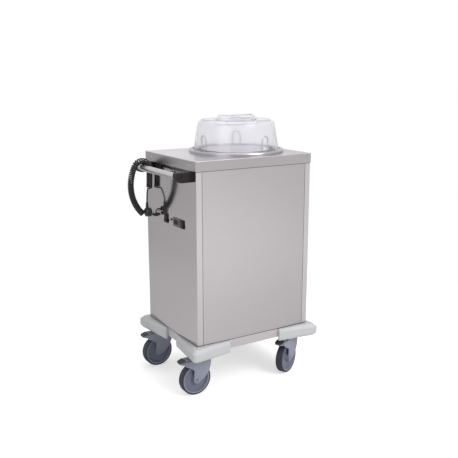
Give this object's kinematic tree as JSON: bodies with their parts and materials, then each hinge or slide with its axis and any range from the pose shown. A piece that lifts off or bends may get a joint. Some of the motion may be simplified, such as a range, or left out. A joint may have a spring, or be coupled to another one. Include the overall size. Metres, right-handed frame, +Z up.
{
  "type": "plate dispenser cart",
  "caption": "Closed steel cabinet cart on braked swivel casters, with a self-levelling plate tube under a clear dome, a push handle at one end and a curly supply cord hung over it.",
  "frame": {"origin": "on the floor, under the middle of the outline of the cart, which takes in the handle and the corner bumpers", "axes": "+Z up; +X along the cart, away from the end with the handle; the wide front faces -Y"},
  "size_m": [0.6546, 0.4792, 1.0443],
  "materials": {
    "panel_steel": "brushed, vertical grain",
    "deck_steel": "fine brushed",
    "frame_steel": "mill finish",
    "bumper_plastic": "fine texture",
    "caster_steel": "zinc plated",
    "fork_plastic": "satin",
    "wheel_plastic": "satin",
    "tyre_rubber": "smooth tread",
    "pedal_plastic": "satin",
    "bright_wire": "polished",
    "tube_steel": "smooth",
    "heater_steel": "oxidised",
    "dome_plastic": "clear",
    "bar_steel": "satin",
    "bracket_plastic": "satin black",
    "control_plastic": "black",
    "display_window": "tinted window",
    "key_plastic": "satin",
    "lamp_lens": "translucent",
    "cable_rubber": "satin black",
    "plug_plastic": "satin black",
    "pin_brass": "nickel plated"
  },
  "bodies": {
    "cart": {"base_frame": "frame_steel", "caster_heads": "caster_steel", "handle_end_shell": "panel_steel", "far_end_shell": "panel_steel", "front_panel": "panel_steel", "rear_panel": "panel_steel", "floor_tray": "frame_steel", "top_deck": "deck_steel", "deck_screws": "caster_steel", "collar_ring": "deck_steel", "dispenser_tube": "tube_steel", "lift_springs": "bright_wire", "heater_element": "heater_steel", "handle_bar": "bar_steel", "handle_bracket_front": "bracket_plastic", "handle_bracket_rear": "bracket_plastic", "handle_screws": "caster_steel", "controller_housing": "control_plastic", "controller_display": "display_window", "switch_frames": "control_plastic", "pilot_lamp": "lamp_lens", "cable_gland": "plug_plastic", "supply_tail": "cable_rubber", "cord_coil": "cable_rubber", "plug_tail": "cable_rubber", "plug": "plug_plastic", "plug_pins": "pin_brass", "bumper_handle_front": "bumper_plastic", "bumper_handle_rear": "bumper_plastic", "bumper_far_front": "bumper_plastic", "bumper_far_rear": "bumper_plastic"},
    "swivel_handle_front": {"caster_fork_handle_front": "fork_plastic", "caster_axle_handle_front": "caster_steel"},
    "wheel_handle_front": {"wheel_core_handle_front": "wheel_plastic", "tyre_handle_front": "tyre_rubber"},
    "pedal_handle_front": {"brake_pedal_handle_front": "pedal_plastic"},
    "swivel_handle_rear": {"caster_fork_handle_rear": "fork_plastic", "caster_axle_handle_rear": "caster_steel"},
    "wheel_handle_rear": {"wheel_core_handle_rear": "wheel_plastic", "tyre_handle_rear": "tyre_rubber"},
    "pedal_handle_rear": {"brake_pedal_handle_rear": "pedal_plastic"},
    "swivel_far_front": {"caster_fork_far_front": "fork_plastic", "caster_axle_far_front": "caster_steel"},
    "wheel_far_front": {"wheel_core_far_front": "wheel_plastic", "tyre_far_front": "tyre_rubber"},
    "pedal_far_front": {"brake_pedal_far_front": "pedal_plastic"},
    "swivel_far_rear": {"caster_fork_far_rear": "fork_plastic", "caster_axle_far_rear": "caster_steel"},
    "wheel_far_rear": {"wheel_core_far_rear": "wheel_plastic", "tyre_far_rear": "tyre_rubber"},
    "pedal_far_rear": {"brake_pedal_far_rear": "pedal_plastic"},
    "platform": {"plate_platform": "tube_steel"},
    "guide_handle": {"plate_guide_handle": "bright_wire"},
    "guide_rear": {"plate_guide_rear": "bright_wire"},
    "guide_front": {"plate_guide_front": "bright_wire"},
    "cover": {"dome": "dome_plastic"},
    "main_key": {"main_rocker": "control_plastic"},
    "heat_key": {"heat_rocker": "control_plastic"},
    "up_key": {"button_up": "key_plastic"},
    "down_key": {"button_down": "key_plastic"}
  },
  "joints": [
    {"name": "swivel_turn_handle_front", "type": "hinge", "parent": "cart", "child": "swivel_handle_front", "pos_m": [-0.1935, -0.163, 0.1477], "axis": [0, 0, 1], "continuous": true},
    {"name": "wheel_roll_handle_front", "type": "hinge", "parent": "swivel_handle_front", "child": "wheel_handle_front", "pos_m": [-0.2315, -0.163, 0.0625], "axis": [0, 1, 0], "continuous": true},
    {"name": "pedal_press_handle_front", "type": "hinge", "parent": "swivel_handle_front", "child": "pedal_handle_front", "pos_m": [-0.2535, -0.163, 0.134], "axis": [0, -1, 0], "range_deg": [0, 20]},
    {"name": "swivel_turn_handle_rear", "type": "hinge", "parent": "cart", "child": "swivel_handle_rear", "pos_m": [-0.1935, 0.163, 0.1477], "axis": [0, 0, 1], "continuous": true},
    {"name": "wheel_roll_handle_rear", "type": "hinge", "parent": "swivel_handle_rear", "child": "wheel_handle_rear", "pos_m": [-0.2315, 0.163, 0.0625], "axis": [0, 1, 0], "continuous": true},
    {"name": "pedal_press_handle_rear", "type": "hinge", "parent": "swivel_handle_rear", "child": "pedal_handle_rear", "pos_m": [-0.2535, 0.163, 0.134], "axis": [0, -1, 0], "range_deg": [0, 20]},
    {"name": "swivel_turn_far_front", "type": "hinge", "parent": "cart", "child": "swivel_far_front", "pos_m": [0.2225, -0.163, 0.1477], "axis": [0, 0, 1], "continuous": true},
    {"name": "wheel_roll_far_front", "type": "hinge", "parent": "swivel_far_front", "child": "wheel_far_front", "pos_m": [0.1882, -0.17936, 0.0625], "axis": [-0.4305, 0.9026, 0], "continuous": true},
    {"name": "pedal_press_far_front", "type": "hinge", "parent": "swivel_far_front", "child": "pedal_far_front", "pos_m": [0.16834, -0.18883, 0.134], "axis": [0.4305, -0.9026, 0], "range_deg": [0, 20]},
    {"name": "swivel_turn_far_rear", "type": "hinge", "parent": "cart", "child": "swivel_far_rear", "pos_m": [0.2225, 0.163, 0.1477], "axis": [0, 0, 1], "continuous": true},
    {"name": "wheel_roll_far_rear", "type": "hinge", "parent": "swivel_far_rear", "child": "wheel_far_rear", "pos_m": [0.18533, 0.1709, 0.0625], "axis": [0.2079, 0.9781, 0], "continuous": true},
    {"name": "pedal_press_far_rear", "type": "hinge", "parent": "swivel_far_rear", "child": "pedal_far_rear", "pos_m": [0.16381, 0.17547, 0.134], "axis": [-0.2079, -0.9781, 0], "range_deg": [0, 20]},
    {"name": "platform_lift", "type": "slide", "parent": "cart", "child": "platform", "axis": [0, 0, 1], "range_m": [-0.4, 0], "stiffness_N_per_m": 880, "springref_m": 0.1, "deforming": ["lift_springs"]},
    {"name": "guide_handle_slide", "type": "slide", "parent": "cart", "child": "guide_handle", "axis": [0.9994, 0.0349, 0], "range_m": [0, 0.012]},
    {"name": "guide_rear_slide", "type": "slide", "parent": "cart", "child": "guide_rear", "axis": [-0.5446, -0.8387, 0], "range_m": [0, 0.012]},
    {"name": "guide_front_slide", "type": "slide", "parent": "cart", "child": "guide_front", "axis": [-0.2588, 0.9659, 0], "range_m": [0, 0.012]},
    {"name": "dome_lift", "type": "slide", "parent": "cart", "child": "cover", "axis": [0, 0, 1], "range_m": [0, 0.25]},
    {"name": "main_switch_tip", "type": "hinge", "parent": "cart", "child": "main_key", "pos_m": [-0.2395, 0.0325, 0.657], "axis": [0, 1, 0], "range_deg": [-16, 0]},
    {"name": "heat_switch_tip", "type": "hinge", "parent": "cart", "child": "heat_key", "pos_m": [-0.2395, -0.102, 0.6545], "axis": [0, 1, 0], "range_deg": [-16, 0]},
    {"name": "up_button_press", "type": "slide", "parent": "cart", "child": "up_key", "axis": [1, 0, 0], "range_m": [0, 0.0008], "stiffness_N_per_m": 500},
    {"name": "down_button_press", "type": "slide", "parent": "cart", "child": "down_key", "axis": [1, 0, 0], "range_m": [0, 0.0008], "stiffness_N_per_m": 500}
  ]
}
